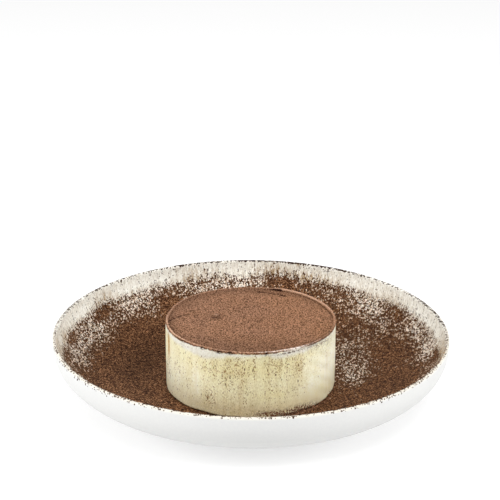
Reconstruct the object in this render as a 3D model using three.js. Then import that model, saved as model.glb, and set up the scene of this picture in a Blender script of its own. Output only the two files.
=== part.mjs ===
// A round portion of tiramisu, served in the middle of a coupe dish.
//
// The dish is one piece of glazed stoneware: a flat floor, a wall that sweeps up in a superellipse to
// a thin rounded lip, and a low foot ring underneath. On its floor stands the tiramisu, set in a ring
// mould: a tall cylinder of mascarpone cream, a thin layer of whiter cream on top of it, and a dusting
// of cocoa over that, which the collar of the mould has left standing up as a fine ridge at the edge.
//
// Units are millimetres, +Z is up, and the origin is the middle of the foot ring, on the table.
import * as THREE from "three";

// ---- driving dimensions ----
const dishRadius = 105; // outside, at the widest point under the lip
const dishHeight = 36.4; // table to the top of the lip
const floorHeight = 6; // table to the inside floor, which the tiramisu stands on
const flatFloorRadius = 46; // the floor is level out to here
const lipThickness = 2.4;
const footRadius = 52; // outer edge of the foot ring
const footWidth = 5;
const footHeight = 1.6; // how far the foot ring stands down from the wall beside it
const recessHeight = 1; // table to the underside, inside the foot ring

const cakeRadius = 45;
const mascarponeHeight = 33;
const creamHeight = 2.8; // the whiter cream under the cocoa
const cocoaHeight = 0.9; // the dusting, away from the edge
const cakeOffset = new THREE.Vector2(-0.3, -0.7); // how far the tiramisu stands from the dish's middle

// ---- fineness ----
const dishSides = 80;
const cakeSides = 80;

// Turns a profile of [radius, height] pairs round the Z axis. The profile runs from the axis
// underneath, up the outside, and back to the axis on top, so that the faces point outwards.
function turn(profile, sides) {
  const points = profile.map(([r, z]) => new THREE.Vector2(r, z));
  return new THREE.LatheGeometry(points, sides).rotateX(Math.PI / 2);
}

// Moves every vertex of a turned shape by relief(radius, angle, height), which gives how far it goes
// outwards and upwards. Every relief repeats after a full turn, so the seam stays closed.
function uneven(geometry, relief) {
  const position = geometry.getAttribute("position");
  for (let i = 0; i < position.count; i++) {
    const [x, y, z] = [position.getX(i), position.getY(i), position.getZ(i)];
    const radius = Math.hypot(x, y);
    const angle = Math.atan2(y, x);
    const [out, up] = relief(radius, angle, z);
    const scale = radius > 0 ? 1 + out / radius : 1;
    position.setXYZ(i, x * scale, y * scale, z + up);
  }
  geometry.computeVertexNormals();
  return geometry;
}

// A quarter of a superellipse, from its level end at [r0, z0] to its upright end at [r1, z1].
function superellipse(r0, z0, r1, z1, exponent, steps) {
  return Array.from({ length: steps + 1 }, (_, i) => {
    const t = (i / steps) * (Math.PI / 2);
    return [
      r0 + (r1 - r0) * Math.sin(t) ** (2 / exponent),
      z0 + (z1 - z0) * (1 - Math.cos(t) ** (2 / exponent)),
    ];
  });
}

// A round arc about [r, z], its angles in degrees from the outward direction.
function arc(r, z, radius, from, to, steps) {
  return Array.from({ length: steps + 1 }, (_, i) => {
    const a = THREE.MathUtils.degToRad(from + ((to - from) * i) / steps);
    return [r + radius * Math.cos(a), z + radius * Math.sin(a)];
  });
}

// 0 below the first edge, 1 above the second, and smooth in between.
const blend = (value, from, to) => THREE.MathUtils.smoothstep(value, from, to);

// A bump of height 1 at the centre, which dies away over its width.
const bump = (distance, width) => Math.exp(-((distance / width) ** 2));

// ---- the dish ----
function dishGeometry() {
  const lipRadius = lipThickness / 2;
  const lipHeight = dishHeight - lipRadius;
  const wallExponent = 2.52;
  const insideExponent = 1.88;
  const outside = superellipse(5, 0.5, dishRadius, lipHeight, wallExponent, 22).filter(
    ([r]) => r > footRadius + 3,
  );
  const inside = superellipse(
    flatFloorRadius,
    floorHeight,
    dishRadius - lipThickness,
    lipHeight,
    insideExponent,
    13,
  ).reverse();
  const foot = [
    [0, recessHeight],
    [footRadius - footWidth - 0.6, recessHeight],
    [footRadius - footWidth, 0],
    [footRadius, 0],
    [footRadius + 0.5, footHeight],
  ];
  const lip = arc(dishRadius - lipRadius, lipHeight, lipRadius, 0, 180, 6).slice(1, -1);
  return turn([...foot, ...outside, ...lip, ...inside, [0, floorHeight]], dishSides);
}

// ---- the tiramisu ----
// The mould's film leaves the side a little wavy: long shallow waves round it, and a slack lean.
function sideWave(angle, height) {
  const round = 0.22 * Math.sin(2 * angle + 0.7) + 0.16 * Math.sin(5 * angle + 2.1);
  const slack = 0.1 * Math.sin(9 * angle + height / 6);
  return round + slack;
}

function mascarponeGeometry() {
  const edge = 1.1; // how far the foot of the cream rounds in
  const rings = 7;
  const side = Array.from({ length: rings + 1 }, (_, i) => [
    cakeRadius,
    edge + ((mascarponeHeight - edge) * i) / rings,
  ]);
  const foot = arc(cakeRadius - edge, edge, edge, -90, 0, 3).slice(0, -1);
  const geometry = turn([[0, 0], ...foot, ...side, [0, mascarponeHeight]], cakeSides);
  // The bottom edge was lifted off the mould's base, and stands off the floor in short shallow scallops.
  return uneven(geometry, (radius, angle, z) => {
    const atEdge = blend(radius, cakeRadius - 3, cakeRadius - 0.5);
    const scallop = 0.25 * (1 + Math.sin(11 * angle + 1.3 * Math.sin(3 * angle)));
    const lift = scallop * atEdge * (1 - blend(z, 0, 3));
    return [sideWave(angle, z) * atEdge, lift];
  });
}

function creamGeometry() {
  const side = [0, 0.5, 1].map((share) => [cakeRadius, creamHeight * share]);
  const geometry = turn([[0, 0], ...side, [0, creamHeight]], cakeSides);
  return uneven(geometry, (radius, angle, z) => {
    const atEdge = blend(radius, cakeRadius - 3, cakeRadius - 0.5);
    return [sideWave(angle, mascarponeHeight + z) * atEdge, 0];
  });
}

// The cocoa is level in the middle, sinks to a shallow groove just inside the edge, and stands up
// there in a ridge. A trowel has left faint rings in it, and one bubble has left a dimple.
function cocoaGeometry() {
  const ridgeWidth = 1.3;
  const ridgeHeight = 0.7;
  const grooveRadius = cakeRadius - 2.6;
  const grooveDepth = 0.25;
  const dimple = { x: -18.8, y: 1.6, width: 2.2, depth: 0.45 };
  const ridgeMiddle = cakeRadius - ridgeWidth / 2;
  const ridge = arc(ridgeMiddle, cocoaHeight, ridgeWidth / 2, 0, 180, 4).map(([r, z]) => [
    r,
    cocoaHeight + ((z - cocoaHeight) * ridgeHeight) / (ridgeWidth / 2),
  ]);
  const innerRings = 11;
  const top = Array.from({ length: innerRings }, (_, i) => [
    grooveRadius * (1 - i / innerRings),
    cocoaHeight,
  ]);
  const geometry = turn([[0, 0], [cakeRadius, 0], ...ridge, ...top, [0, cocoaHeight]], cakeSides);
  return uneven(geometry, (radius, angle, z) => {
    const atEdge = blend(radius, cakeRadius - 3, cakeRadius - 0.5);
    const out = sideWave(angle, mascarponeHeight + creamHeight) * atEdge;
    if (z < cocoaHeight / 2) return [out, 0]; // the underside lies on the cream
    const onRidge = blend(radius, grooveRadius, ridgeMiddle);
    const broken = 0.22 * Math.sin(7 * angle + 1) * Math.sin(3 * angle) * onRidge;
    const groove = -grooveDepth * bump(radius - grooveRadius, 1.6);
    const trowel = 0.06 * Math.sin(radius / 2.4 + 1.5 * Math.sin(angle)) * (1 - onRidge);
    const x = radius * Math.cos(angle);
    const y = radius * Math.sin(angle);
    const dent = -dimple.depth * bump(Math.hypot(x - dimple.x, y - dimple.y), dimple.width);
    return [out, broken + groove + trowel + dent];
  });
}

// ---- materials ----
const whiteGlaze = new THREE.MeshStandardMaterial({ color: 0xf1f0ec, roughness: 0.35 });
const mascarpone = new THREE.MeshStandardMaterial({ color: 0xe9e2b4, roughness: 0.6 });
const whiteCream = new THREE.MeshStandardMaterial({ color: 0xf0eee0, roughness: 0.55 });
const cocoaPowder = new THREE.MeshStandardMaterial({ color: 0x8a5f45, roughness: 1 });

// ---- the object ----
function piece(name, geometry, material, height) {
  const mesh = new THREE.Mesh(geometry, material);
  mesh.name = name;
  mesh.position.z = height;
  return mesh;
}

const tiramisu = new THREE.Group();
tiramisu.position.set(cakeOffset.x, cakeOffset.y, floorHeight);
tiramisu.add(
  piece("mascarpone", mascarponeGeometry(), mascarpone, 0),
  piece("top_cream", creamGeometry(), whiteCream, mascarponeHeight),
  piece("cocoa", cocoaGeometry(), cocoaPowder, mascarponeHeight + creamHeight),
);

const dessert = new THREE.Group();
dessert.add(piece("dish", dishGeometry(), whiteGlaze, 0), tiramisu);

export default dessert;
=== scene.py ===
# A round portion of tiramisu, served in the middle of a speckled coupe dish. Every piece here stands
# for one solid of the frame or lies on one, on a pale floor in soft light. Lengths are in metres,
# +Z is up, and the origin is the middle of the dish's foot ring, on the table.
import math
import random

import bmesh
import bpy
from mathutils import Matrix, Vector, noise


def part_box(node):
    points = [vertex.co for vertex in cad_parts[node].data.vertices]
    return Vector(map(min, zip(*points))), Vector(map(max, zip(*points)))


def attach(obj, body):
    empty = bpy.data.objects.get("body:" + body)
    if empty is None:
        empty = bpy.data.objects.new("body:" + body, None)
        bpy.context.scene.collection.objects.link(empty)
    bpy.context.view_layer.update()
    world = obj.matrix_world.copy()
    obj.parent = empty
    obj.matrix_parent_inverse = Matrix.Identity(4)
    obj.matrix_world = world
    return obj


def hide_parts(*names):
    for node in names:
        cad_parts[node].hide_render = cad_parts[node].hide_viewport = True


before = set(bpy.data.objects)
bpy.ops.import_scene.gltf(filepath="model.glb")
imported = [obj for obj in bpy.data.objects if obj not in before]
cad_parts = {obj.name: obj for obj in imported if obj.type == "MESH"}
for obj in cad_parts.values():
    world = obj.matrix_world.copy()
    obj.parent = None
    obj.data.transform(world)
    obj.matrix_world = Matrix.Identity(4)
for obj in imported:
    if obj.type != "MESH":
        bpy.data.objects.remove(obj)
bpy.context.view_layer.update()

# ---- the dish ----
# White stoneware, turned on a wheel: a level floor, a wall that sweeps up to a thin round lip, and a
# low foot ring. The inside was sprayed with a dark glaze over a cream one: it is thick in the middle,
# breaks up into flecks on the wall, and has run in fine streaks below the lip.
mm = 0.001
dish_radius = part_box("dish")[1].x
dish_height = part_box("dish")[1].z
floor_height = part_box("mascarpone")[0].z
flat_floor_radius = 46 * mm
lip_width = 2.4 * mm
foot_radius = 52 * mm
foot_width = 5 * mm
foot_step = 1.6 * mm
foot_rounding = 0.6 * mm
recess_height = 1 * mm
recess_slope = 0.6 * mm
foot_fillet = [
    (foot_radius + 0.15 * mm, foot_step - 0.3 * mm),
    (foot_radius + 0.7 * mm, foot_step + 0.35 * mm),
]
wall_foot = foot_radius + 2.5 * mm
outside_start = (5 * mm, 0.5 * mm)
floor_ring = 30 * mm
outside_roundness = 2.52
inside_roundness = 1.88
outside_steps = 96
inside_steps = 64
lip_steps = 18
foot_steps = 4
dish_steps = 288


def quarter(start, end, exponent, steps):
    """A quarter of a superellipse as (radius, height) pairs, from its level end to its upright end."""
    points = []
    for i in range(steps + 1):
        turn = i / steps * math.pi / 2
        across = math.sin(turn) ** (2 / exponent)
        up = 1 - math.cos(turn) ** (2 / exponent)
        points.append((start[0] + (end[0] - start[0]) * across, start[1] + (end[1] - start[1]) * up))
    return points


def arc(centre, radius, first, last, steps):
    """A round arc as (radius, height) pairs, its angles in degrees from the outward direction."""
    turns = [math.radians(first + (last - first) * i / steps) for i in range(steps + 1)]
    return [(centre[0] + radius * math.cos(t), centre[1] + radius * math.sin(t)) for t in turns]


def turned(profile, steps):
    """Turns (radius, height) pairs, from the axis underneath to the axis on top, into a closed bmesh.

    The steps round it are a multiple of 16. The layer "along" keeps how far along the profile each
    vertex lies."""
    bm = bmesh.new()
    along = bm.verts.layers.float.new("along")
    chain = []
    for radius, height in profile:
        vertex = bm.verts.new((radius, 0, height))
        if chain:
            vertex[along] = chain[-1][along] + (vertex.co - chain[-1].co).length
        chain.append(vertex)
    edges = [bm.edges.new(pair) for pair in zip(chain, chain[1:])]
    # one wedge of the turn is spun, and doubled until it goes all round
    doublings = 4
    wedges = 2**doublings
    wedge = math.tau / wedges
    bmesh.ops.spin(
        bm,
        geom=chain + edges,
        cent=(0, 0, 0),
        axis=(0, 0, 1),
        dvec=(0, 0, 0),
        angle=wedge,
        steps=steps // wedges,
        use_merge=False,
    )
    for doubling in range(doublings):
        twin = bmesh.ops.duplicate(bm, geom=bm.verts[:] + bm.edges[:] + bm.faces[:])["geom"]
        corners = [part for part in twin if isinstance(part, bmesh.types.BMVert)]
        turn = Matrix.Rotation(wedge * 2**doubling, 3, "Z")
        bmesh.ops.rotate(bm, cent=(0, 0, 0), matrix=turn, verts=corners)
    bmesh.ops.remove_doubles(bm, verts=bm.verts, dist=1e-6)
    bmesh.ops.recalc_face_normals(bm, faces=bm.faces)
    for face in bm.faces:
        face.smooth = True
    return bm


def placed(name, mesh, material):
    """Makes the mesh an object of the scene, with its material."""
    mesh.materials.append(material)
    piece = bpy.data.objects.new(name, mesh)
    bpy.context.scene.collection.objects.link(piece)
    return piece


def finished(name, bm, material):
    """Makes the bmesh an object of the scene, with its material and with its corners kept sharp."""
    sharp_corner = math.radians(50)
    for edge in bm.edges:
        edge.smooth = edge.calc_face_angle(0) < sharp_corner
    mesh = bpy.data.meshes.new(name)
    bm.to_mesh(mesh)
    bm.free()
    return placed(name, mesh, material)


def rise(value, low, high):
    """0 below low, 1 above high, and smooth in between."""
    share = min(max((value - low) / (high - low), 0), 1)
    return share * share * (3 - 2 * share)


def degrees_aside(angle, at_degrees):
    """How far round an angle lies from a direction, from -180 to 180 degrees."""
    return (math.degrees(angle) - at_degrees + 180) % 360 - 180


def patches(places, angle, distance):
    """Adds up soft patches, each (degrees, mm, degrees wide, mm wide, amount), at an angle and distance."""
    total = 0
    for at_degrees, at_mm, degrees_wide, mm_wide, amount in places:
        aside = degrees_aside(angle, at_degrees)
        away = distance / mm - at_mm
        total += amount * math.exp(-((aside / degrees_wide) ** 2) - (away / mm_wide) ** 2)
    return total


def stripes(places, angle):
    """Adds up soft stripes, each (degrees, degrees wide, amount), at an angle."""
    total = 0
    for at_degrees, degrees_wide, amount in places:
        total += amount * math.exp(-((degrees_aside(angle, at_degrees) / degrees_wide) ** 2))
    return total


def new_material(name):
    """A material, with its node tree and its shader."""
    material = bpy.data.materials.new(name)
    material.use_nodes = True
    return material, material.node_tree, material.node_tree.nodes["Principled BSDF"]


def put(tree, kind, inputs=None, **settings):
    """Adds a node. Each input is given by name or number, as a value or as another node's output."""
    node = tree.nodes.new("ShaderNode" + kind)
    for key, value in settings.items():
        setattr(node, key, value)
    for key, value in (inputs or {}).items():
        if isinstance(value, bpy.types.NodeSocket):
            tree.links.new(value, node.inputs[key])
        else:
            node.inputs[key].default_value = value
    return node


def reckon(tree, operation, a, b):
    """Reckons with two values."""
    return put(tree, "Math", {0: a, 1: b}, operation=operation).outputs[0]


def reckon_place(tree, operation, inputs):
    """Reckons with places and other vectors."""
    return put(tree, "VectorMath", inputs, operation=operation).outputs[0]


def plus(tree, a, b):
    return reckon(tree, "ADD", a, b)


def times(tree, a, b):
    return reckon(tree, "MULTIPLY", a, b)


def centred(tree, value, amount):
    """Turns a value of 0 to 1 into one that goes half the amount below 0 and half of it above."""
    return times(tree, reckon(tree, "SUBTRACT", value, 0.5), amount)


def stretch(tree, value, low, high, to_low=0.0, to_high=1.0):
    """Maps low..high smoothly to to_low..to_high, and holds the ends beyond it."""
    inputs = {"Value": value, 1: low, 2: high, 3: to_low, 4: to_high}
    return put(tree, "MapRange", inputs, interpolation_type="SMOOTHSTEP").outputs[0]


def mix(tree, share, first, second):
    """A colour that goes from the first to the second as share goes from 0 to 1."""
    return put(tree, "Mix", {0: share, 6: first, 7: second}, data_type="RGBA").outputs[2]


def between(tree, share, first, second):
    """A value that goes from the first to the second as share goes from 0 to 1."""
    return put(tree, "Mix", {0: share, 2: first, 3: second}, data_type="FLOAT").outputs[0]


def stored(tree, name):
    """Reads a value that the mesh's vertices carry."""
    return put(tree, "Attribute", attribute_name=name).outputs["Fac"]


def emboss(tree, shader, height, strength, depth):
    """Gives the surface a fine relief, which is depth deep in metres where the height is 1."""
    bump = put(tree, "Bump", {"Strength": strength, "Distance": depth, "Height": height})
    tree.links.new(bump.outputs[0], shader.inputs["Normal"])


def paint(red, green, blue):
    """A screen colour, 0 to 255, as the linear colour that a shader takes."""
    channels = [value / 255 for value in (red, green, blue)]
    linear = [c / 12.92 if c <= 0.04045 else ((c + 0.055) / 1.055) ** 2.4 for c in channels]
    return (*linear, 1.0)


def group(name, output, **inputs):
    """A node group with one output value, and inputs given as name=kind of socket."""
    tree = bpy.data.node_groups.new(name, "ShaderNodeTree")
    for socket, kind in inputs.items():
        tree.interface.new_socket(socket, in_out="INPUT", socket_type="NodeSocket" + kind)
    tree.interface.new_socket(output, in_out="OUTPUT", socket_type="NodeSocketFloat")
    return tree, tree.nodes.new("NodeGroupInput").outputs, tree.nodes.new("NodeGroupOutput").inputs


def use(tree, made, **inputs):
    """Places a node group in a tree, and gives its one output."""
    return put(tree, "Group", inputs, node_tree=made).outputs[0]


def ragged_cells(tree, given, finer, detail, shove):
    """A mosaic of cells, whose edges are shoved about by a noise that is finer than they are."""
    scale = times(tree, given["Fineness"], finer)
    ragged = put(tree, "TexNoise", {"Vector": given["Vector"], "Scale": scale, "Detail": detail})
    shift = reckon_place(tree, "SUBTRACT", {0: ragged.outputs["Color"], 1: (0.5, 0.5, 0.5)})
    reach = reckon(tree, "DIVIDE", shove, given["Fineness"])
    shifted = reckon_place(tree, "SCALE", {0: shift, "Scale": reach})
    moved = reckon_place(tree, "ADD", {0: given["Vector"], 1: shifted})
    return put(tree, "TexVoronoi", {"Vector": moved, "Scale": given["Fineness"]}).outputs


# Grains: a ragged mosaic of small grains, each with its own value between 0 and 1. The Fineness of
# this and of the next groups is how many of them lie along a metre.
grains, given, result = group("grains", "Value", Vector="Vector", Fineness="Float")
cells = ragged_cells(grains, given, finer=1.6, detail=1.0, shove=1.6)
draw = put(grains, "SeparateColor", {"Color": cells["Color"]}).outputs
grains.links.new(draw[0], result["Value"])

# Grain: fine irregular mottling, of powder and of a dry glaze.
grain, given, result = group("grain", "Grain", Vector="Vector", Fineness="Float")
inputs = {"Vector": given["Vector"], "Scale": given["Fineness"], "Detail": 3.0, "Roughness": 0.7}
speckle = put(grain, "TexNoise", inputs)
grain.links.new(stretch(grain, speckle.outputs["Fac"], 0.32, 0.68), result["Grain"])

# Streaks: mottling drawn out along the vector's Z, of glaze that has run and cream that was pulled.
streaks, given, result = group("streaks", "Streak", Vector="Vector", Fineness="Float", Flatness="Float")
squeeze = put(streaks, "CombineXYZ", {0: 1.0, 1: 1.0, 2: given["Flatness"]}).outputs[0]
squeezed = reckon_place(streaks, "MULTIPLY", {0: given["Vector"], 1: squeeze})
inputs = {"Vector": squeezed, "Scale": given["Fineness"], "Detail": 2.0, "Roughness": 0.6}
ripple = put(streaks, "TexNoise", inputs)
streaks.links.new(stretch(streaks, ripple.outputs["Fac"], 0.34, 0.66), result["Streak"])

# Specks: separate ragged dots, of which Share is how many of the places hold one.
inputs = {"Vector": "Vector", "Fineness": "Float", "Size": "Float", "Share": "Float"}
specks, given, result = group("specks", "Mask", **inputs)
cells = ragged_cells(specks, given, finer=2.3, detail=2.0, shove=0.8)
draw = put(specks, "SeparateColor", {"Color": cells["Color"]}).outputs
radius = times(specks, given["Size"], stretch(specks, draw[1], 0.0, 1.0, 0.45, 1.0))
dot = stretch(specks, cells["Distance"], times(specks, radius, 0.7), radius, 1.0, 0.0)
present = reckon(specks, "LESS_THAN", draw[0], given["Share"])
specks.links.new(times(specks, dot, present), result["Mask"])

lip_radius = lip_width / 2
lip_height = dish_height - lip_radius
outer_rounding = (foot_radius - foot_rounding, foot_rounding)
inner_rounding = (foot_radius - foot_width + foot_rounding, foot_rounding)
inside_foot = (flat_floor_radius, floor_height)
inside_top = (dish_radius - lip_width, lip_height)
outside = quarter(outside_start, (dish_radius, lip_height), outside_roundness, outside_steps)
inside = quarter(inside_foot, inside_top, inside_roundness, inside_steps)
lip = arc((dish_radius - lip_radius, lip_height), lip_radius, 0, 180, lip_steps)
profile = [(0, recess_height), (foot_radius - foot_width - recess_slope, recess_height)]
profile += arc(inner_rounding, foot_rounding, 180, 270, foot_steps)
profile += arc(outer_rounding, foot_rounding, -90, 0, foot_steps) + foot_fillet
profile += [point for point in outside if point[0] > wall_foot]
profile += lip[1:-1] + inside[::-1] + [(floor_ring, floor_height), (0, floor_height)]

bm = turned(profile, dish_steps)
along = bm.verts.layers.float["along"]
crest = max(bm.verts, key=lambda v: v.co.z)[along]
# where the dark glaze lies thicker or thinner than it does all round, by degrees from +X and mm from the lip
thick_places = [
    (188, 13, 7, 4, 0.15),
    (172, 12, 4, 3, 0.2),
    (147, 10.5, 5, 5, 0.34),
    (119, 19, 6, 6, 0.2),
    (125, 22, 6, 5, 0.25),
    (176, 14, 7, 3.5, 0.16),
    (152, 15, 8, 3.5, 0.22),
    (155, 26, 22, 9, 0.07),
    (104, 9, 6, 4, 0.3),
    (104, 15, 12, 5, 0.14),
    (80, 8.5, 8, 3.5, 0.45),
    (66, 9, 8, 4, 0.12),
    (76, 16, 12, 6, 0.4),
    (52, 26, 14, 12, 0.11),
    (30, 25, 20, 12, 0.05),
    (60, 17, 7, 6, 0.08),
    (32, 13, 5, 5, 0.3),
    (16, 26, 13, 7, 0.15),
    (14, 38, 14, 7, 0.28),
    (-4, 13, 5, 4, 0.2),
    (-8, 36, 8, 20, 0.25),
    (215, 22, 24, 10, 0.3),
    (255, 26, 30, 16, 0.5),
    (300, 26, 30, 14, 0.3),
    (222, 1, 24, 4, 0.8),
    (318, 1, 24, 4, 0.8),
    (268, 1, 24, 3, 0.5),
]
thin_places = [
    (178, 22, 6, 8, 0.1),
    (161, 31, 9, 5, 0.17),
    (172, 25, 14, 7, 0.07),
    (158, 22, 7, 8, 0.16),
    (138, 15, 5, 5, 0.12),
    (129, 22, 5, 8, 0.16),
    (100, 14, 14, 5, 0.3),
    (73, 13, 1.5, 5, 0.25),
    (44, 18, 7, 6, 0.22),
    (4, 16, 5, 5, 0.3),
    (20, 16, 5, 4, 0.22),
    (183, 27, 6, 7, 0.1),
    (34, 54, 12, 7, 0.05),
    (24, 50, 12, 6, 0.02),
    (62, 13, 6, 3, 0.12),
    (4, 60, 14, 7, 0.26),
    (179, 14, 2.5, 6, 0.2),
    (158, 14, 3, 6, 0.2),
    (140, 14, 3, 5, 0.12),
    (47, 13, 3.5, 5, 0.12),
]
# where it lies thin all the way down the wall, by degrees from +X
sparse_places = [(28, 42, 1.0)]
# where specks are thick along the outside of the lip
specked_places = [
    (214, 0.6, 26, 1.3, 1.4),
    (316, 0.5, 26, 1.0, 1.2),
    (266, 0.4, 24, 0.9, 0.8),
    (182, 0.2, 24, 1.0, 1.1),
    (0, -0.1, 24, 0.8, 0.9),
]
# how much of a dark line the glaze has left on the crest at the back
lined_places = [(70, 20, 1.3), (88, 8, 0.4), (108, 18, 0.6), (150, 32, 0.8), (18, 30, 0.75)]
# where the cream glaze below the lip is browned
tanned_places = [
    (192, 5, 8, 5, 0.9),
    (176, 8, 4, 3, 0.6),
    (146, 7, 4, 4, 0.7),
    (112, 7, 6, 5, 0.4),
    (98, 5, 10, 6, 0.1),
    (83, 6, 5, 5, 0.6),
    (68, 8, 10, 4, 0.6),
    (74, 1, 1.5, 1.5, 0.9),
    (40, 8, 10, 4, 0.35),
    (-8, 7, 10, 6, 0.9),
    (-20, 3, 8, 4, 0.9),
]
# where the brown is painted darker as shadow, most of all the cake's shadow to its left
cake_shadow_places = [(172, 52, 26, 13, 0.4), (200, 56, 30, 8, 0.15), (120, 50, 30, 10, 0.15)]
# where the brown is painted lighter and warmer as a sheen, most of all on the wall at the front left
sheen_places = [(198, 50, 26, 18, 1.0), (10, 36, 30, 20, 0.3), (150, 66, 30, 8, 0.4)]
# how far each vertex lies from the crest, above 0 inside and below 0 outside, and its glaze, painted
# sheen and painted shadow
wall = bm.verts.layers.float.new("wall")
cover = bm.verts.layers.float.new("cover")
specked = bm.verts.layers.float.new("specked")
tanned = bm.verts.layers.float.new("tanned")
lined = bm.verts.layers.float.new("lined")
painted_cake_shadow = bm.verts.layers.float.new("painted_cake_shadow")
painted_sheen = bm.verts.layers.float.new("painted_sheen")
for v in bm.verts:
    angle = math.atan2(v.co.y, v.co.x)
    v[wall] = v[along] - crest
    spread = 0.68 * rise(v[wall], 7 * mm, 13 * mm)
    spread += (0.44 - 0.34 * stripes(sparse_places, angle)) * rise(v[wall], 18 * mm, 36 * mm)
    v[cover] = spread + patches(thick_places, angle, v[wall]) - patches(thin_places, angle, v[wall])
    v[specked] = min(max(patches(specked_places, angle, -v[wall]) - 0.12, 0), 0.85)
    on_crest = math.exp(-(((v[wall] / mm - 0.3) / 1.25) ** 4))
    v[lined] = on_crest * min(stripes(lined_places, angle), 1.1)
    v[tanned] = patches(tanned_places, angle, v[wall])
    # painted sheen on the brown
    v[painted_sheen] = patches(sheen_places, angle, v[wall])
    # painted shadow of the cake on the brown
    v[painted_cake_shadow] = patches(cake_shadow_places, angle, v[wall])

glaze, tree, shader = new_material("dish_glaze")
place = put(tree, "TexCoord").outputs["Object"]
from_lip = stored(tree, "wall")
thickness = stored(tree, "cover")
# a place on the wall, straightened out: round the lip by X and Y, and down from it by Z
sideways = reckon_place(tree, "MULTIPLY", {0: place, 1: (1, 1, 0)})
outward = reckon_place(tree, "NORMALIZE", {0: sideways})
round_lip = reckon_place(tree, "SCALE", {0: outward, "Scale": dish_radius})
down_wall = put(tree, "CombineXYZ", {2: from_lip}).outputs[0]
runs = reckon_place(tree, "ADD", {0: round_lip, 1: down_wall})
# flecks: fine grains of the dark glaze, a little drawn out, which part where it was sprayed thinly
drawn = reckon_place(tree, "MULTIPLY", {0: place, 1: (1, 0.65, 1)})
small_flecks = use(tree, grains, Vector=drawn, Fineness=1720.0)
large_flecks = use(tree, grains, Vector=drawn, Fineness=950.0)
fleck = between(tree, 0.12, small_flecks, large_flecks)
clump = put(tree, "TexNoise", {"Vector": place, "Scale": 300.0, "Detail": 3.0}).outputs["Fac"]
streak = use(tree, streaks, Vector=runs, Fineness=1500.0, Flatness=0.14)
near_lip = stretch(tree, from_lip, 9 * mm, 22 * mm, 1.0, 0.0)
streaked = times(tree, centred(tree, streak, 0.5), near_lip)
level = plus(tree, thickness, centred(tree, clump, 0.6))
level = centred(tree, plus(tree, level, streaked), 0.95)
covered = reckon(tree, "SUBTRACT", plus(tree, level, 0.5), fleck)
dark = stretch(tree, covered, -0.03, 0.03)
# the dark glaze: a fine mosaic of browns, with a painted sheen and the cake's painted shadow, and a plainer
# brown where it lies thin among the flecks
coarse = use(tree, grain, Vector=place, Fineness=900.0)
across = reckon_place(tree, "MULTIPLY", {0: place, 1: (0.8, 1, 1)})
grainy = between(tree, 0.06, use(tree, grains, Vector=across, Fineness=2500.0), coarse)
grainy = reckon(tree, "POWER", grainy, 4.2)
browns = mix(tree, grainy, paint(36, 15, 3), paint(196, 141, 100))
# browns for the painted sheen, lighter and warmer
sheen_browns = mix(tree, grainy, paint(42, 18, 5), paint(240, 177, 131))
browns = mix(tree, stored(tree, "painted_sheen"), browns, sheen_browns)
# painted shadow: the brown is darkened where the cake shades it
browns = mix(tree, stored(tree, "painted_cake_shadow"), browns, paint(26, 12, 4))
thin = stretch(tree, thickness, 1.05, 0.7, 0.0, 0.66)
browns = mix(tree, thin, browns, paint(69, 44, 28))
# the cream glaze: finely streaked below the lip, and browned there where dark glaze has run into it
hair_streak = use(tree, streaks, Vector=runs, Fineness=2300.0, Flatness=0.2)
broad_streak = use(tree, streaks, Vector=runs, Fineness=520.0, Flatness=0.14)
mottled = between(tree, 0.6, use(tree, grains, Vector=drawn, Fineness=1600.0), hair_streak)
creams = mix(tree, mottled, paint(218, 213, 201), paint(252, 251, 245))
# a fleck is the paler the further the dark glaze has drawn back from it
bared = stretch(tree, covered, 0.0, -0.3)
flecks = mix(tree, bared, paint(234, 203, 178), paint(255, 251, 242))
creams = mix(tree, stretch(tree, from_lip, 8 * mm, 14 * mm), creams, flecks)
tan = plus(tree, stored(tree, "tanned"), stretch(tree, thickness, -0.15, 0.35, 0.08, 0.6))
tan = times(tree, tan, stretch(tree, hair_streak, 1.0, 0.2, 0.45, 1.0))
tan = times(tree, tan, stretch(tree, broad_streak, 0.1, 0.8, 0.5, 1.0))
run_creams = mix(tree, tan, creams, paint(158, 130, 92))
within = mix(tree, dark, run_creams, browns)
# the outside: white, and creamier close under the lip, where the two glazes meet in a wandering line
white = mix(tree, coarse, paint(202, 202, 201), paint(205, 205, 203))
white = mix(tree, stretch(tree, from_lip, -2.2 * mm, -0.4 * mm), white, paint(216, 210, 197))
from_join = plus(tree, from_lip, centred(tree, clump, 1.4 * mm))
inner = stretch(tree, from_join, -0.25 * mm, 0.1 * mm)
glazed = mix(tree, inner, white, within)
# dark specks outside the lip, and a broken dark line on its crest
dots = use(tree, specks, Vector=place, Fineness=1050.0, Size=0.7, Share=stored(tree, "specked"))
dotted = mix(tree, dots, glazed, paint(62, 38, 22))
breaks = put(tree, "TexNoise", {"Vector": place, "Scale": 900.0, "Detail": 1.0}).outputs["Fac"]
lining = stored(tree, "lined")
line = stretch(tree, plus(tree, breaks, times(tree, lining, 0.3)), 0.7, 0.76)
line = times(tree, line, stretch(tree, lining, 0.1, 0.3))
tree.links.new(mix(tree, line, dotted, paint(50, 29, 16)), shader.inputs["Base Color"])
tree.links.new(stretch(tree, times(tree, dark, inner), 0.0, 1.0, 0.38, 0.6), shader.inputs["Roughness"])
fine = use(tree, grains, Vector=place, Fineness=1700.0)
emboss(tree, shader, times(tree, plus(tree, fine, dark), inner), 0.8, 0.15 * mm)
shader.inputs["Specular IOR Level"].default_value = 0.06

dish = finished("coupe_dish", bm, glaze)
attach(dish, "root")
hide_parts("dish")

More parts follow.
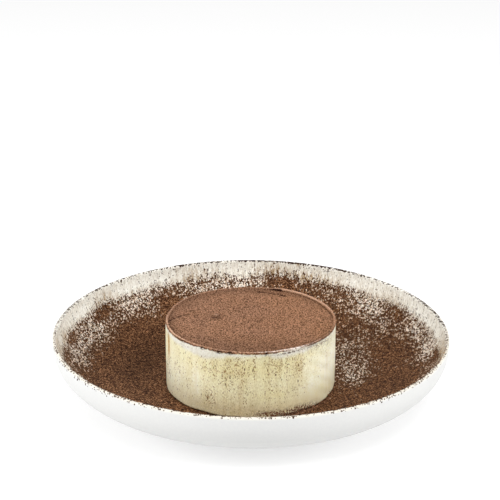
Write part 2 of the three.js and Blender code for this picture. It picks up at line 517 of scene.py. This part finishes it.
# ---- the mascarpone ----
# The body of the tiramisu: pale yellow mascarpone cream, set in a ring mould and pushed out of it.
# The mould's film has left its side a little wavy and streaked from top to bottom, with specks of
# cocoa caught in it, a stain at the left and a powdery edge where it stands in the dish. Its foot at the
# front is painted darker as shade, and its right side is painted paler as light.
cake_centre = Vector((-0.3 * mm, -0.7 * mm, 0))
cake_radius = 45 * mm
cream_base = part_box("top_cream")[0].z
cream_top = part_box("top_cream")[1].z
foot_edge = 1.1 * mm
level_radius = cake_radius - 3 * mm
cake_steps = 400
foot_rings = 6
side_rings = 72


def at_edge(radius):
    """1 on the side of the tiramisu, and 0 where it is level further in."""
    return rise(radius, level_radius, cake_radius - 0.5 * mm)


def side_wave(angle, height):
    """How far the side stands out from a true cylinder, at a height above the dish's floor."""
    wave = 0.22 * math.sin(2 * angle + 0.7) + 0.16 * math.sin(5 * angle + 2.1)
    return (wave + 0.1 * math.sin(9 * angle + height / mm / 6)) * mm


def side_relief(angle, height):
    """Ribs that the film left, a few slanting folds at the right, and small pits."""
    around = Vector((math.cos(angle), math.sin(angle), 0)) * cake_radius
    ribs = noise.noise(around * 420 + Vector((0, 0, height * 25)))
    pits = noise.noise((around + Vector((0, 0, height))) * 900)
    folded = math.exp(-(((math.degrees(angle) + 30) / 16) ** 2))
    folds = math.sin((height + cake_radius * angle * 0.55) * 900) * folded
    return (0.05 * ribs + 0.035 * min(pits, 0) + 0.09 * folds) * mm


def by_angle(stations, degrees):
    """A value that goes smoothly from station to station, each (degrees from +X, value), round the side."""
    degrees = degrees % 360
    for (start, low), (end, high) in zip(stations, stations[1:]):
        if start <= degrees <= end:
            return low + (high - low) * rise(degrees, start, end)
    return stations[-1][1]


# what the side carries, by degrees from +X and mm above the dish's floor
speckled_places = [
    (-88, 29.8, 34, 4.8, 0.78),
    (-108, 25.5, 16, 1.0, 1.0),
    (-106, 22, 9, 4, 0.4),
    (-74, 24, 8, 5, 0.25),
    (-57, 28, 3, 6, 0.8),
    (-94, 24, 2, 14, 0.5),
    (-88, 14, 34, 11, 0.14),
    (-153, 20, 9, 2.5, 0.5),
    (-164, 15, 5, 5, 0.45),
    (-118, 10, 5, 4, 0.5),
    (-62, 13, 10, 4, 0.2),
    (-150, 12, 16, 8, 0.16),
    (120, 20, 80, 14, 0.2),
]
stain_and_foot_shade_places = [
    (-160.5, 31, 1.8, 4, 1.5),
    (-160.5, 25, 1.7, 4, 1.2),
    # this one darkens the foot at the front: painted shade where the cream meets the dish
    (-90, 4, 60, 5, 0.3),
    (-104, 25, 14, 0.5, 0.25),
    (-57, 27, 3, 6, 0.16),
    (-96, 18, 2, 12, 0.12),
    (-27, 22, 2.5, 7, 0.2),
    (-127.9, 18, 0.6, 12, 0.2),
    (-54.2, 24, 0.5, 8, 0.18),
]
smudged_places = [
    (-34, 34.4, 14, 1.9, 0.85),
    (-64, 35.2, 16, 0.6, 1.0),
    (-24, 31, 12, 4, 0.35),
    (-30, 20, 14, 1.2, 0.2),
    (-138, 34.3, 5, 0.4, 0.6),
    (-121, 31.6, 6, 0.8, 0.3),
]
# paler cream, and painted light: the right side is painted paler where the side lamp falls on it
pale_and_lit_places = [
    (-22, 20, 27, 22, 1.1),
    (-150, 16, 22, 16, 0.5),
    (-128, 18, 2.5, 16, 0.6),
    (-118, 31, 6, 5, 0.3),
    (-46, 9, 12, 7, 0.5),
    (150, 20, 60, 30, 0.6),
]
buttery_places = [
    (-134, 28, 26, 5, 0.16),
    (-86, 28, 34, 6, 0.55),
    (-76, 13, 12, 3, 0.5),
    (-36, 7, 22, 6, 0.6),
    (150, 28, 60, 8, 0.4),
]
# powder lying at the foot; the wide faint patch low at the front is painted shade there
powder_and_foot_shade_places = [
    (-58, 1.6, 13, 2.2, 1.9),
    (-78, 2.4, 9, 1.5, 1.3),
    (-100, 0.3, 24, 0.8, 0.8),
    (-145, 0.3, 24, 0.7, 0.7),
    (-106, 3.5, 34, 5, 0.24),
]
# where chips of cocoa hang over the top of the cream
chipped_places = [
    (-140, 35.8, 2.0, 0.4, 0.8),
    (-123, 35.8, 1.5, 0.4, 1.2),
    (-110.5, 35.7, 1.9, 0.45, 1.8),
    (-103.5, 35.8, 1.6, 0.4, 1.8),
    (-93, 35.8, 2.0, 0.3, 0.6),
    (-79.5, 35.8, 1.1, 0.4, 1.5),
    (-63, 35.3, 8.0, 0.35, 1.0),
    (-44, 35.2, 4.0, 0.4, 0.7),
]
# how far down the whiter cream shows, in mm above the dish's floor
white_edges = [
    (0, 35.4),
    (180, 35.2),
    (200, 34.8),
    (212, 33.8),
    (226, 32.6),
    (238, 31.6),
    (246, 32.8),
    (258, 34.8),
    (280, 35.4),
    (288, 33.8),
    (308, 34.0),
    (320, 35.4),
    (360, 35.4),
]


def shape_side(bm):
    """Gives the turned side its relief, and stores what each vertex of it carries."""
    layers = {}
    for name in ("white", "speckled", "stain_and_foot_shade", "smudged", "pale_and_lit", "buttery", "powder_and_foot_shade", "chipped"):
        layers[name] = bm.verts.layers.float.new(name)
    for v in bm.verts:
        radius = math.hypot(v.co.x, v.co.y)
        angle = math.atan2(v.co.y, v.co.x)
        height = v.co.z - floor_height
        out = (side_wave(angle, height) + side_relief(angle, height)) * at_edge(radius)
        if radius > 0:
            v.co.x *= 1 + out / radius
            v.co.y *= 1 + out / radius
        wander = noise.noise(Vector((math.cos(angle) * 12, math.sin(angle) * 12, 0)))
        edge = by_angle(white_edges, math.degrees(angle)) + 0.5 * wander
        v[layers["white"]] = rise(height / mm, edge - 1.8, edge + 0.8)
        v[layers["speckled"]] = patches(speckled_places, angle, height) * (1 - 0.9 * v[layers["white"]])
        v[layers["stain_and_foot_shade"]] = patches(stain_and_foot_shade_places, angle, height)
        v[layers["smudged"]] = patches(smudged_places, angle, height)
        v[layers["pale_and_lit"]] = min(patches(pale_and_lit_places, angle, height), 1)
        v[layers["buttery"]] = patches(buttery_places, angle, height)
        v[layers["powder_and_foot_shade"]] = patches(powder_and_foot_shade_places, angle, height)
        v[layers["chipped"]] = patches(chipped_places, angle, height)
        v.co += cake_centre


def cream_material(name):
    """Soft cream: yellow below the white band, streaked upwards, and marked by what the side carries."""
    material, tree, shader = new_material(name)
    place = put(tree, "TexCoord").outputs["Object"]
    fine_streak = use(tree, streaks, Vector=place, Fineness=1900.0, Flatness=0.5)
    wide_streak = use(tree, streaks, Vector=place, Fineness=300.0, Flatness=0.2)
    column = use(tree, streaks, Vector=place, Fineness=520.0, Flatness=0.06)
    fine = use(tree, grain, Vector=place, Fineness=1300.0)
    streak = plus(tree, times(tree, fine_streak, 0.7), times(tree, wide_streak, 0.3))
    yellow = mix(tree, streak, paint(214, 201, 153), paint(255, 251, 215))
    paler = mix(tree, streak, paint(246, 241, 205), paint(255, 255, 241))
    # paler cream, and painted light on the right side
    body = mix(tree, stored(tree, "pale_and_lit"), yellow, paler)
    body = mix(tree, times(tree, stored(tree, "buttery"), 0.6), body, paint(240, 228, 164))
    white = mix(tree, streak, paint(224, 219, 201), paint(247, 244, 232))
    cream = mix(tree, stored(tree, "white"), body, white)
    # stains, and the painted shade at the foot
    stain_and_shade = times(tree, stored(tree, "stain_and_foot_shade"), stretch(tree, fine_streak, 0.1, 0.8, 0.4, 1.0))
    stain_and_foot_shade = mix(tree, stain_and_shade, cream, paint(180, 128, 44))
    # specks of cocoa in the cream, many small ones and a few big ones, with a faint grime between them
    share = times(tree, stored(tree, "speckled"), stretch(tree, column, 0.0, 1.0, 0.25, 1.5))
    grime = times(tree, stretch(tree, fine, 0.35, 0.9), times(tree, share, 0.14))
    grimy = mix(tree, grime, stain_and_foot_shade, paint(184, 150, 86))
    tall = reckon_place(tree, "MULTIPLY", {0: place, 1: (1, 1, 0.5)})
    many = times(tree, share, 1.2)
    small = use(tree, specks, Vector=tall, Fineness=2200.0, Size=0.66, Share=many)
    dotted = mix(tree, times(tree, small, 0.85), grimy, paint(138, 96, 38))
    few = times(tree, share, 0.12)
    big = use(tree, specks, Vector=tall, Fineness=950.0, Size=0.5, Share=few)
    dotted = mix(tree, times(tree, big, 0.85), dotted, paint(98, 66, 34))
    # cocoa on the cream: smudged on, lying as powder at the foot, where it also stands in for painted shade,
    # or hanging over in chips
    smudge = times(tree, stored(tree, "smudged"), stretch(tree, fine, 0.4, 0.8))
    smudged = mix(tree, smudge, dotted, paint(120, 96, 78))
    # powder, and painted shade at the foot
    powder = times(tree, stored(tree, "powder_and_foot_shade"), stretch(tree, fine, 0.2, 0.6))
    powdered_and_shaded = mix(tree, powder, smudged, paint(112, 76, 54))
    chip = times(tree, stored(tree, "chipped"), stretch(tree, fine, 0.1, 0.5))
    tree.links.new(mix(tree, chip, powdered_and_shaded, paint(70, 45, 32)), shader.inputs["Base Color"])
    tree.links.new(stretch(tree, streak, 0.0, 1.0, 0.62, 0.48), shader.inputs["Roughness"])
    emboss(tree, shader, plus(tree, times(tree, fine, 0.4), streak), 0.4, 0.1 * mm)
    shader.inputs["Specular IOR Level"].default_value = 0.25
    shader.inputs["Subsurface Weight"].default_value = 0.2
    shader.inputs["Subsurface Radius"].default_value = (1.0, 0.8, 0.45)
    shader.inputs["Subsurface Scale"].default_value = 3 * mm
    return material


side_foot = floor_height + foot_edge
side_height = cream_base - side_foot
mascarpone_side = [(cake_radius, side_foot + side_height * i / side_rings) for i in range(side_rings + 1)]
foot = arc((cake_radius - foot_edge, side_foot), foot_edge, -90, 0, foot_rings)
profile = [(0, floor_height), (level_radius, floor_height)] + foot[:-1] + mascarpone_side
bm = turned(profile + [(level_radius, cream_base), (0, cream_base)], cake_steps)
# the foot stands off the dish in short shallow scallops, and is a little ragged
for v in bm.verts:
    angle = math.atan2(v.co.y, v.co.x)
    ruffle = 0.25 * (1 + math.sin(11 * angle + 1.3 * math.sin(3 * angle)))
    ruffle += 0.35 * abs(noise.noise(Vector((math.cos(angle), math.sin(angle), 0)) * 17))
    near_foot = 1 - rise(v.co.z, floor_height, floor_height + 3 * mm)
    v.co.z += ruffle * mm * near_foot * at_edge(math.hypot(v.co.x, v.co.y))
shape_side(bm)
mascarpone = finished("mascarpone_cream", bm, cream_material("mascarpone"))
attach(mascarpone, "root")
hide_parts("mascarpone")

# ---- the white cream on top ----
# A thin layer of whiter cream, smoothed level with the mould's rim before the cocoa went on. It shows
# at the side as a band, which is clean at the left and smudged with cocoa at the right.
band_rings = 8
band_height = cream_top - cream_base
band = [(cake_radius, cream_base + band_height * i / band_rings) for i in range(band_rings + 1)]
profile = [(0, cream_base), (level_radius, cream_base)] + band + [(level_radius, cream_top), (0, cream_top)]
bm = turned(profile, cake_steps)
shape_side(bm)
top_cream = finished("white_cream", bm, cream_material("top_cream"))
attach(top_cream, "root")
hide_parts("top_cream")

# ---- the cocoa ----
# Cocoa powder, dusted thickly over the cream inside the mould's collar. It lies grainy and dull, with
# faint rings from a palette knife and one dimple, and the collar has pressed a ridge up at the edge,
# with a shallow groove inside it that has cracked at the back.
cocoa_height = 0.9 * mm
cocoa_level = cream_top + cocoa_height
ridge_width = 1.3 * mm
ridge_height = 0.7 * mm
ridge_radius = cake_radius - ridge_width / 2
groove_radius = cake_radius - 2.6 * mm
cocoa_steps = 560
cocoa_rings = 120
groove_rings = 4
edge_rings = 4
ridge_steps = 10
dimple = Vector((-18.8, 1.6)) * mm
rim_from_dimple = Vector((0.5, 2.9)) * mm
pimple = Vector((29.8, -4.2)) * mm
arcs_middle = Vector((-22, 8)) * mm
# how high the collar left the ridge, by degrees from +X and in mm
ridge_heights = [
    (0, 0.3),
    (20, 0.95),
    (70, 1.0),
    (78, 0.3),
    (86, 0.2),
    (94, 0.6),
    (104, 0.25),
    (112, 0.5),
    (165, 0.45),
    (180, 0.6),
    (212, 0.5),
    (235, 0.45),
    (300, 0.4),
    (316, 0.0),
    (344, 0.0),
    (360, 0.3),
]
# how much of the cocoa's own edge is bare of powder, by degrees from +X and in mm up from the cream
bare_edges = [(0, 0.1), (215, 0.05), (240, 0.15), (262, 0.15), (300, 0.2), (345, 0.25), (360, 0.1)]
# how strong the painted highlight on the ridge's crest is, and how white the crest is, by degrees from +X
crest_highlights = [
    (0, 0.4),
    (20, 0.65),
    (74, 0.7),
    (84, 0.4),
    (112, 0.4),
    (165, 0.45),
    (198, 1.0),
    (228, 0.9),
    (246, 0.5),
    (262, 0.7),
    (280, 0.8),
    (310, 0.9),
    (320, 0.4),
    (360, 0.4),
]
white_crests = [(0, 0), (270, 0), (283, 0.9), (310, 1.0), (318, 0.3), (330, 0), (360, 0)]
# where the painted highlight on the crest, and its white, reach down the ridge
wide_crests = [
    (0, 0),
    (196, 0),
    (206, 0.6),
    (232, 0.6),
    (244, 0),
    (276, 0),
    (284, 1.0),
    (310, 1.2),
    (320, 0),
    (360, 0),
]
# where its white flakes hang down the side, and where the bare part of the edge is whiter
flaky_sides = [(301, 9, 1)]
whiter_edges = [(230, 18, 1.0), (297, 11, 0.9)]
# how much painted shade lies on the edge below the crest, where that shade is darkest at chips, and where
# the edge is pressed in, by degrees from +X
edge_shades = [(0, 0.2), (190, 0.25), (240, 0.3), (262, 0.1), (282, 0.3), (296, 0.1), (314, 0.3), (360, 0.2)]
edge_chips = [(220, 2, 0.5), (237, 1.5, 0.7), (249.5, 2, 1), (256.5, 1.6, 1), (280.5, 1.2, 1)]
edge_dents = [(169, 7, -0.5), (130, 5, -0.3), (249.5, 2.5, 0.2), (240, 3, -0.2), (292, 9, -0.35)]
# a crack that runs along the back, and a crease at the left, as places measured from the middle
back_crack = [Vector(place) * mm for place in ((4, 38.4), (9, 37), (15, 34.8), (19, 32.6))]
ridge_crack = [Vector(place) * mm for place in ((8, 42.3), (11.5, 41.9), (14, 41.0), (16.5, 40.2))]
left_crease = [Vector(place) * mm for place in ((-42.6, -3), (-41, -0.6), (-37, 3.2), (-32.5, 5.6))]


def hump(distance, width):
    """1 at no distance, and smoothly less further off."""
    return math.exp(-((distance / width) ** 2))


def from_line(line, spot):
    """How far a place lies from a line of places."""
    nearest = 1.0
    for start, end in zip(line, line[1:]):
        reach = end - start
        share = min(max((spot - start).dot(reach) / reach.length_squared, 0), 1)
        nearest = min(nearest, (start + reach * share - spot).length)
    return nearest


def split(spot):
    """How deep the cocoa is cracked or creased at a place, 0 to 1."""
    torn = rise(noise.noise(spot.to_3d() * 420), -0.9, 0.1)
    depth = hump(from_line(back_crack, spot), 0.85 * mm) + hump(from_line(ridge_crack, spot), 0.75 * mm)
    return torn * (depth + 0.8 * hump(from_line(left_crease, spot), 0.75 * mm))


def cocoa_relief(x, y):
    """The height of the cocoa above its level top, at a place measured from the tiramisu's middle."""
    radius = math.hypot(x, y)
    angle = math.atan2(y, x)
    spot = Vector((x, y, 0))
    on_ridge = rise(radius, groove_radius, ridge_radius)
    tall = by_angle(ridge_heights, math.degrees(angle))
    broken = 0.22 * noise.noise(spot * 330) + 0.1 * noise.noise(spot * 900)
    groove = -(0.06 + 0.55 * tall) * hump(radius - groove_radius - 0.8 * mm, 0.6 * mm)
    crack = -0.5 * split(spot.xy)
    away = (spot.xy - dimple).length
    swirl = 0.05 * math.sin(away / mm * 1.9) * hump(away, 14 * mm)
    trowel = 0.05 * math.sin(radius / mm / 2.4 + 1.5 * math.sin(angle)) + 0.1 * noise.noise(spot * 90)
    dents = -0.5 * hump(away, 1.6 * mm) + 0.2 * hump(away - 2.6 * mm, 0.9 * mm)
    dents += 0.4 * hump((spot.xy - pimple).length, 0.8 * mm)
    powder = 0.06 * noise.noise(spot * 1100) + 0.04 * noise.noise(spot * 400)
    slump = -0.5 * rise(radius, cake_radius - 2 * mm, cake_radius) * rise(0.25 - tall, 0, 0.25)
    level = (trowel + swirl) * (1 - on_ridge) + dents + powder * (1 - 0.5 * on_ridge)
    return (broken * on_ridge + groove + crack + slump + level) * mm


round_ridge = arc((ridge_radius, cocoa_level), ridge_width / 2, 0, 180, ridge_steps)
ridge = [
    (radius, cocoa_level + (height - cocoa_level) * ridge_height / (ridge_width / 2))
    for radius, height in round_ridge
]
ridge_inside = ridge[-1][0] - groove_radius
edge = [(cake_radius, cream_top + cocoa_height * i / edge_rings) for i in range(edge_rings)]
field = [
    (groove_radius + ridge_inside * (1 - i / groove_rings), cocoa_level) for i in range(1, groove_rings + 1)
]
field += [(groove_radius * (1 - i / cocoa_rings), cocoa_level) for i in range(1, cocoa_rings + 1)]
bm = turned([(0, cream_top), (level_radius, cream_top)] + edge + ridge + field, cocoa_steps)
# where the top is painted darker, as shade beside the edge
shaded_places = [
    (82, 41.5, 22, 4, 0.45),
    (140, 41.5, 34, 4, 0.36),
    (192, 43, 16, 3, 0.3),
    (45, 41, 24, 3, 0.2),
    (-20, 43, 20, 2.5, 0.2),
]
painted_highlight = bm.verts.layers.float.new("painted_highlight")
painted_hollow_shade = bm.verts.layers.float.new("painted_hollow_shade")
bare = bm.verts.layers.float.new("bare")
shade_below_crest = bm.verts.layers.float.new("shade_below_crest")
whiter = bm.verts.layers.float.new("whiter")
darkened_and_shaded = bm.verts.layers.float.new("darkened_and_shaded")
silvered = bm.verts.layers.float.new("silvered")
warmer = bm.verts.layers.float.new("warmer")
for v in bm.verts:
    radius = math.hypot(v.co.x, v.co.y)
    angle = math.atan2(v.co.y, v.co.x)
    degrees = math.degrees(angle)
    around = Vector((math.cos(angle), math.sin(angle), 0))
    spot = Vector((v.co.x, v.co.y, 0))
    above = v.co.z - cocoa_level
    on_top = above > -0.5 * cocoa_height
    on_side = rise(radius, cake_radius - 0.5 * mm, cake_radius - 0.2 * mm)
    tall = by_angle(ridge_heights, degrees)
    relief = cocoa_relief(v.co.x, v.co.y) if on_top else 0
    # the edge: bare of powder next to the cream, and painted with shade below the crest, darkest where it is
    # chipped
    ragged = 0.9 * noise.noise(around * 34) + 0.7 * noise.noise(around * 90)
    over_cut = v.co.z - cream_top - (by_angle(bare_edges, degrees) + ragged) * mm
    v[bare] = on_side * (1 - rise(over_cut, -0.2 * mm, 0.1 * mm))
    v[whiter] = stripes(whiter_edges, angle)
    torn = rise(noise.noise(around * 34) + 0.6 * noise.noise(around * 80), -0.35, 0.3)
    below_crest = on_side * (1 - rise(above, 0.2 * mm, 0.5 * mm))
    shade = (0.3 + 0.7 * torn) * by_angle(edge_shades, degrees)
    # painted shade below the crest, darkest at the chips
    v[shade_below_crest] = below_crest * min(shade + stripes(edge_chips, angle), 1)
    # the ridge's crest: a painted highlight, with white flakes at the front
    wide = max(rise(tall, 0.6, 0.9), by_angle(wide_crests, degrees))
    at_crest = rise(above, (0.35 - 0.3 * wide) * mm, 0.62 * mm)
    at_crest *= 0.25 + 0.75 * max(rise(noise.noise(around * 50), -0.3, 0.3), rise(tall, 0.6, 0.9))
    v[painted_highlight] = by_angle(crest_highlights, degrees) * at_crest
    # a painted highlight on the dimple's far rim
    v[painted_highlight] += 0.5 * hump((v.co.xy - dimple - rim_from_dimple).length, 1.1 * mm)
    flaky = rise(noise.noise(around * 130), -0.45, 0.05)
    down_side = stripes(flaky_sides, angle) * rise(above, -0.9 * mm, -0.5 * mm) * on_side
    v[silvered] = by_angle(white_crests, degrees) * max(at_crest, down_side) * flaky
    # the top: darker towards the front, with painted shade along the knife's arcs and beside the edge, and
    # in the groove, the dimple and the cracks
    arcs = math.sin((spot.xy - dimple).length / mm * 1.5 + 3 * noise.noise(spot * 60))
    arcs *= rise(noise.noise(spot * 70), -0.1, 0.4) * hump((spot.xy - arcs_middle).length, 20 * mm)
    v[darkened_and_shaded] = 0.4 * rise(-v.co.y, 14 * mm, 42 * mm) + 0.14 * rise(arcs, 0, 1)
    # painted shade beside the edge
    v[darkened_and_shaded] = (v[darkened_and_shaded] + patches(shaded_places, angle, radius)) * (1 - on_side)
    v[warmer] = rise(v.co.x, -16 * mm, 34 * mm)
    from_dimple = Vector((0.8 * (v.co.x - dimple.x), 1.1 * (v.co.y - dimple.y) + 0.3 * mm)).length
    # painted shade in the groove, the dimple and the cracks
    v[painted_hollow_shade] = 0.6 * rise(-relief, 0.2 * mm, 0.5 * mm) * rise(radius, 36 * mm, 40 * mm)
    v[painted_hollow_shade] += 0.9 * hump(from_dimple, 2.2 * mm)
    v[painted_hollow_shade] += split(spot.xy) if on_top else 0
    # last of all, the vertex is moved
    nicked = (0.2 * noise.noise(around * 26) + 0.16 * noise.noise(around * 60)) * mm
    dented = stripes(edge_dents, angle) * mm
    out = (side_wave(angle, v.co.z - floor_height) + nicked + dented) * at_edge(radius)
    if above > 0:
        relief += above * (tall * mm / ridge_height - 1)
    v.co.z += relief
    if radius > 0:
        v.co.x *= 1 + out / radius
        v.co.y *= 1 + out / radius
    v.co += cake_centre


def cocoa_material(name):
    """Cocoa powder: dull, grainy and uneven, with a painted highlight on the ridge's crest, and painted
    shade in the groove, the dimple, the cracks and beside the edge.
    """
    material, tree, shader = new_material(name)
    place = put(tree, "TexCoord").outputs["Object"]
    drawn = reckon_place(tree, "MULTIPLY", {0: place, 1: (1, 0.75, 1)})
    fine = use(tree, grains, Vector=drawn, Fineness=2600.0)
    coarse = use(tree, grains, Vector=drawn, Fineness=1700.0)
    # the powder has rolled up into small pebbles, each painted pale in its middle as light on its top,
    # and dark round its foot as shade
    pebbles = put(tree, "TexVoronoi", {"Vector": drawn, "Scale": 1350.0}).outputs["Distance"]
    grains_lit_and_shaded = between(tree, 0.6, between(tree, 0.1, fine, coarse), stretch(tree, pebbles, 0.85, 0.15))
    mottle = reckon(tree, "POWER", grains_lit_and_shaded, 1.34)
    dull = mix(tree, mottle, paint(56, 34, 20), paint(192, 144, 114))
    warm = mix(tree, mottle, paint(60, 36, 20), paint(199, 146, 109))
    cloud = put(tree, "TexNoise", {"Vector": place, "Scale": 45.0, "Detail": 3.0}).outputs["Fac"]
    warmth = between(tree, 0.4, stored(tree, "warmer"), stretch(tree, cloud, 0.35, 0.65))
    dusting = mix(tree, warmth, dull, warm)
    # darker towards the front, and painted shade along the arcs and beside the edge
    dusting = mix(tree, stored(tree, "darkened_and_shaded"), dusting, paint(62, 40, 26))
    # the painted highlight on the crest and on the dimple's rim
    ridged = mix(tree, stored(tree, "painted_highlight"), dusting, paint(208, 168, 140))
    ridged = mix(tree, stored(tree, "silvered"), ridged, paint(246, 240, 232))
    # painted shade in the groove, the dimple and the cracks
    hollow = mix(tree, stored(tree, "painted_hollow_shade"), ridged, paint(44, 24, 14))
    # painted shade below the crest, darkest at the chips
    hollow = mix(tree, stored(tree, "shade_below_crest"), hollow, paint(46, 27, 18))
    bared = mix(tree, stored(tree, "whiter"), paint(222, 210, 168), paint(240, 237, 224))
    edged = mix(tree, stored(tree, "bare"), hollow, bared)
    tree.links.new(edged, shader.inputs["Base Color"])
    emboss(tree, shader, fine, 0.8, 0.15 * mm)
    shader.inputs["Roughness"].default_value = 0.95
    shader.inputs["Specular IOR Level"].default_value = 0.1
    return material


powder = cocoa_material("cocoa")
cocoa = finished("cocoa_dusting", bm, powder)
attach(cocoa, "root")
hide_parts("cocoa")

# ---- loose grains of cocoa ----
# The coarsest of the powder, lying where it was sifted: on the top and more thickly along the ridge.
# Each grain is a lump of twenty faces, and all of them are joined into one mesh.
grain_count = 3200
share_on_ridge = 0.22
random.seed(7)


def scatter(name, spots, material):
    """Joins one small ragged lump for each spot, given as (place, radius), into one piece."""
    bm = bmesh.new()
    bmesh.ops.create_icosphere(bm, subdivisions=1, radius=1)
    shape = [v.co.copy() for v in bm.verts]
    sides = [[v.index for v in face.verts] for face in bm.faces]
    bm.free()
    places, faces = [], []
    for spot, size in spots:
        faces += [[corner + len(places) for corner in side] for side in sides]
        for point in shape:
            ragged = 1 + 0.3 * noise.noise(point * 1.5 + spot * 900)
            places.append(spot + point * ragged * size)
    mesh = bpy.data.meshes.new(name)
    mesh.from_pydata(places, [], faces)
    return placed(name, mesh, material)


spots = []
while len(spots) < grain_count:
    angle = random.uniform(0, math.tau)
    radius = (cake_radius - 0.4 * mm) * math.sqrt(random.random())
    if random.random() < share_on_ridge:
        radius = cake_radius - random.uniform(0.3, 2.4) * mm
    size = random.uniform(0.12, 0.26) * mm
    x, y = radius * math.cos(angle), radius * math.sin(angle)
    height = cocoa_level + cocoa_relief(x, y)
    over_ridge = hump(radius - ridge_radius, ridge_width / 2)
    height += by_angle(ridge_heights, math.degrees(angle)) * mm * over_ridge * 0.8
    spots.append((Vector((x, y, height + 0.3 * size)) + cake_centre, size))
loose_grains = scatter("cocoa_grains", spots, powder)
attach(loose_grains, "root")

# ---- the crumbs ----
# Specks of cocoa and cream that fell as the mould came off, lying in the dish along the foot of the
# cream at the front and the right.
crumb_count = 420
crumb_sizes = (0.16, 0.2, 0.25, 0.34)
crumbs_middle = -56
crumbs_spread = 18
spots = []
while len(spots) < crumb_count:
    angle = math.radians(random.gauss(crumbs_middle, crumbs_spread))
    out = abs(random.gauss(0, 0.9)) * mm
    size = random.choice(crumb_sizes) * mm
    radius = cake_radius + side_wave(angle, 0) + out + 0.5 * size
    height = floor_height + 0.4 * size
    if out < 0.5 * mm:
        height += abs(random.gauss(0, 0.9)) * mm
    spot = Vector((radius * math.cos(angle), radius * math.sin(angle), height))
    spots.append((spot + cake_centre, size))
crumbs = scatter("crumbs", spots, powder)
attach(crumbs, "root")

# ---- the floor ----
# A wide white sheet, which is no part of the object. It gives off a little light of its own, so that
# it looks white all over and the dish throws only a faint shadow on it.
sheet, tree, shader = new_material("white_sheet")
shader.inputs["Base Color"].default_value = paint(195, 195, 195)
shader.inputs["Roughness"].default_value = 1.0
shader.inputs["Specular IOR Level"].default_value = 0.0
shader.inputs["Emission Color"].default_value = (1, 1, 1, 1)
seen = put(tree, "LightPath").outputs["Is Camera Ray"]
tree.links.new(between(tree, seen, 0.45, 0.5), shader.inputs["Emission Strength"])
bm = bmesh.new()
bmesh.ops.create_grid(bm, x_segments=1, y_segments=1, size=8)
ground = finished("floor", bm, sheet)

# ---- the light ----
# A white room, a wide soft box overhead, one at each side and one high up in front. Each is given with
# its place, its width and its power in watts.
world = bpy.data.worlds.new("white_room")
world.use_nodes = True
world.node_tree.nodes["Background"].inputs["Color"].default_value = (1, 1, 1, 1)
world.node_tree.nodes["Background"].inputs["Strength"].default_value = 0.68
bpy.context.scene.world = world
aim = Vector((0, 0, 20 * mm))
for name, where, size, watts in (
    ("overhead", (0.0, 0.2, 1.2), 0.5, 0.8),
    ("right", (0.95, -0.25, 0.42), 0.4, 5.0),
    ("left", (-0.95, -0.3, 0.42), 0.5, 7.0),
    ("front", (0.15, -0.65, 1.1), 0.6, 7.2),
):
    lamp = bpy.data.lights.new(name, "AREA")
    lamp.shape = "SQUARE"
    lamp.size = size
    lamp.energy = watts
    light = bpy.data.objects.new(name, lamp)
    light.location = where
    light.rotation_euler = (aim - light.location).to_track_quat("-Z", "Y").to_euler()
    bpy.context.scene.collection.objects.link(light)

# ---- the camera ----
# In front of the dish and above it, with a long lens. It stands at the angle camera_rise over the
# level of the dish's floor, and looks down by camera_dip. The lens's own sizes are in millimetres.
camera_distance = 0.8
camera_rise = math.radians(25.36)
camera_dip = math.radians(20.30)
camera_turn = math.radians(-0.07)
camera_roll = math.radians(0.42)
lens = bpy.data.cameras.new("camera")
lens.sensor_width = 36
lens.lens = 106.34
lens.clip_start = 0.05
lens.clip_end = 30
camera = bpy.data.objects.new("camera", lens)
forward = Vector(
    (
        math.sin(camera_turn) * math.cos(camera_dip),
        math.cos(camera_turn) * math.cos(camera_dip),
        -math.sin(camera_dip),
    )
)
level_right = forward.cross(Vector((0, 0, 1))).normalized()
level_up = level_right.cross(forward)
right = level_right * math.cos(camera_roll) + level_up * math.sin(camera_roll)
up = right.cross(forward)
camera.matrix_world = Matrix((right, up, -forward)).transposed().to_4x4()
camera_height = camera_distance * math.sin(camera_rise) + floor_height
camera.location = (0, -camera_distance * math.cos(camera_rise), camera_height)
bpy.context.scene.collection.objects.link(camera)
bpy.context.scene.camera = camera
bpy.context.scene.view_settings.view_transform = "Standard"
